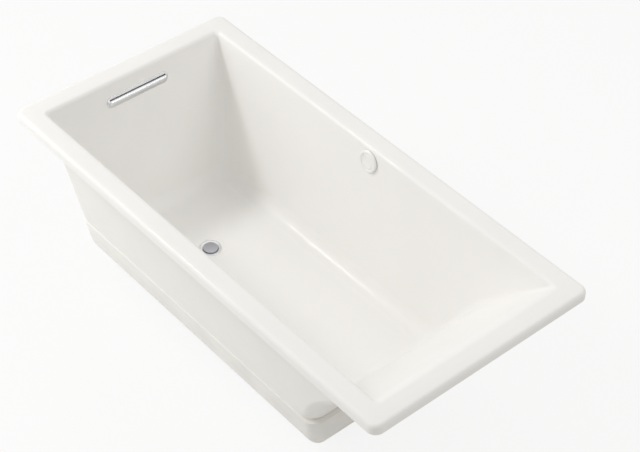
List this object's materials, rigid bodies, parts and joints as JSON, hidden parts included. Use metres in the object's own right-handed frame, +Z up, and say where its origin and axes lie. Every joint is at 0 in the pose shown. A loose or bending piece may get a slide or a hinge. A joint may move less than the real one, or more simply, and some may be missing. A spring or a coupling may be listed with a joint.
{
  "type": "bathtub",
  "caption": "Rectangular drop-in bath with a flat rim, sloped backrest, lift-up waste stopper, slotted overflow and round push button for the warmed backrest, on a moulded base.",
  "frame": {"origin": "on the floor, under the middle of the rim", "axes": "+X along the bath from the waste end to the backrest end, +Y across it to the push button's side, +Z up"},
  "size_m": [1.676, 0.813, 0.559],
  "materials": {
    "acrylic": "glossy white cast acrylic, light orange peel",
    "glass_fibre": "white sprayed glass-fibre backing, faint chopped strands",
    "base_moulding": "white moulded base, satin",
    "timber": "planed softwood and particle board",
    "foam_pad": "dense grey support pad",
    "chrome": "polished chrome plate",
    "brass": "raw cast brass",
    "seal_rubber": "black moulded rubber",
    "pipe_plastic": "white tubular waste plastic",
    "button_plastic": "glossy white moulded plastic",
    "steel": "brushed or zinc-plated steel",
    "case_plastic": "grey moulded housing",
    "circuit_board": "green laminate",
    "heating_film": "dark silicone heating film",
    "lead_sheath": "black flexible sheath"
  },
  "bodies": {
    "bath": {"basin": "acrylic", "backing_shell": "glass_fibre", "base_cradle": "base_moulding", "base_board": "timber", "base_pads": "foam_pad", "rim_rail_near": "timber", "rim_rail_far": "timber", "drain_flange": "chrome", "drain_gasket": "seal_rubber", "drain_shoe": "brass", "waste_pipe": "pipe_plastic", "waste_tee": "pipe_plastic", "slip_nuts": "pipe_plastic", "slip_washers": "seal_rubber", "outlet_pipe": "pipe_plastic", "overflow_pipe": "pipe_plastic", "stopper_guide": "brass", "stopper_spring": "steel", "overflow_trim": "chrome", "overflow_housing": "pipe_plastic", "overflow_gasket": "seal_rubber", "overflow_screws": "steel", "control_bezel": "button_plastic", "control_gasket": "seal_rubber", "control_nut": "button_plastic", "control_housing": "case_plastic", "control_spring": "steel", "control_switch": "case_plastic", "button_lead": "lead_sheath", "heater_mat": "heating_film", "heater_terminal": "case_plastic", "heater_lead": "lead_sheath", "lead_clips": "pipe_plastic", "unit_case": "case_plastic", "unit_cover": "case_plastic", "unit_board": "circuit_board", "unit_bracket": "steel", "unit_screws": "steel", "mains_gland": "seal_rubber"},
    "stopper": {"stopper_cap": "steel", "stopper_seal": "seal_rubber"},
    "button": {"control_button": "button_plastic"}
  },
  "joints": [
    {"name": "stopper_slide", "type": "slide", "parent": "bath", "child": "stopper", "axis": [0, 0, 1], "range_m": [0, 0.0065], "deforming": ["stopper_spring"]},
    {"name": "button_press", "type": "slide", "parent": "bath", "child": "button", "axis": [0, -0.9939, 0.1103], "range_m": [-0.002, 0], "stiffness_N_per_m": 1500, "springref_m": 0.0005, "deforming": ["control_spring"]}
  ]
}
